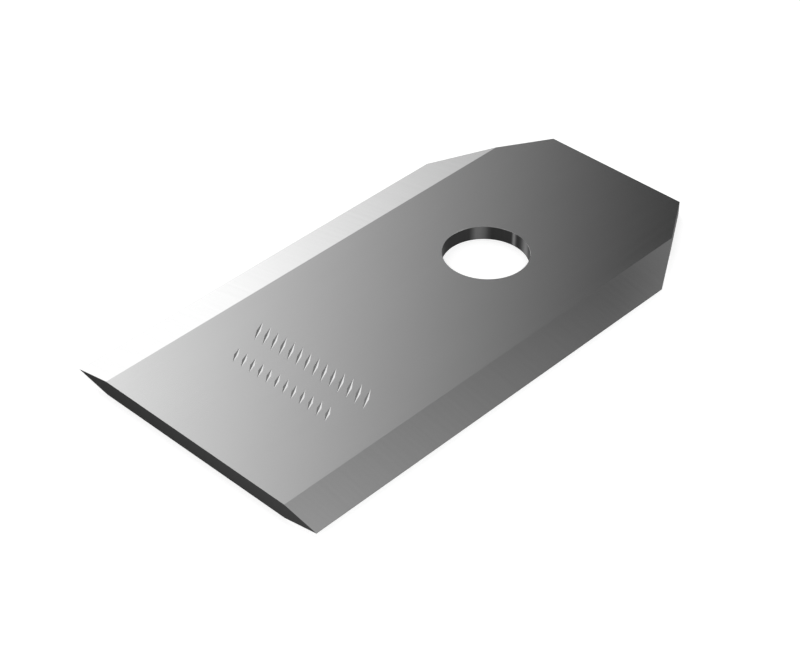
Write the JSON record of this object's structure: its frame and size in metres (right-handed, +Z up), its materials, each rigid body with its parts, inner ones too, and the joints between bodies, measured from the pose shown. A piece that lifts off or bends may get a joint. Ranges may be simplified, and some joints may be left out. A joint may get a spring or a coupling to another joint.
{
  "type": "rotary mower blade",
  "caption": "Flat swinging razor blade for a rotary mower: strip steel ground sharp from both faces along its long edges, with cropped corners and a pivot hole at its mounting end.",
  "frame": {"origin": "on the axis of the pivot hole, at the lower flat face that the blade lies on", "axes": "+X along the blade from the pivot hole to the square outer end, +Y across it to one cutting edge, +Z up through its thickness"},
  "size_m": [0.038, 0.02, 0.001],
  "materials": {
    "ground_steel": "satin rolled flats with finely ground bevels and dark cropped ends"
  },
  "bodies": {
    "root": {"blade": "ground_steel"}
  },
  "joints": []
}
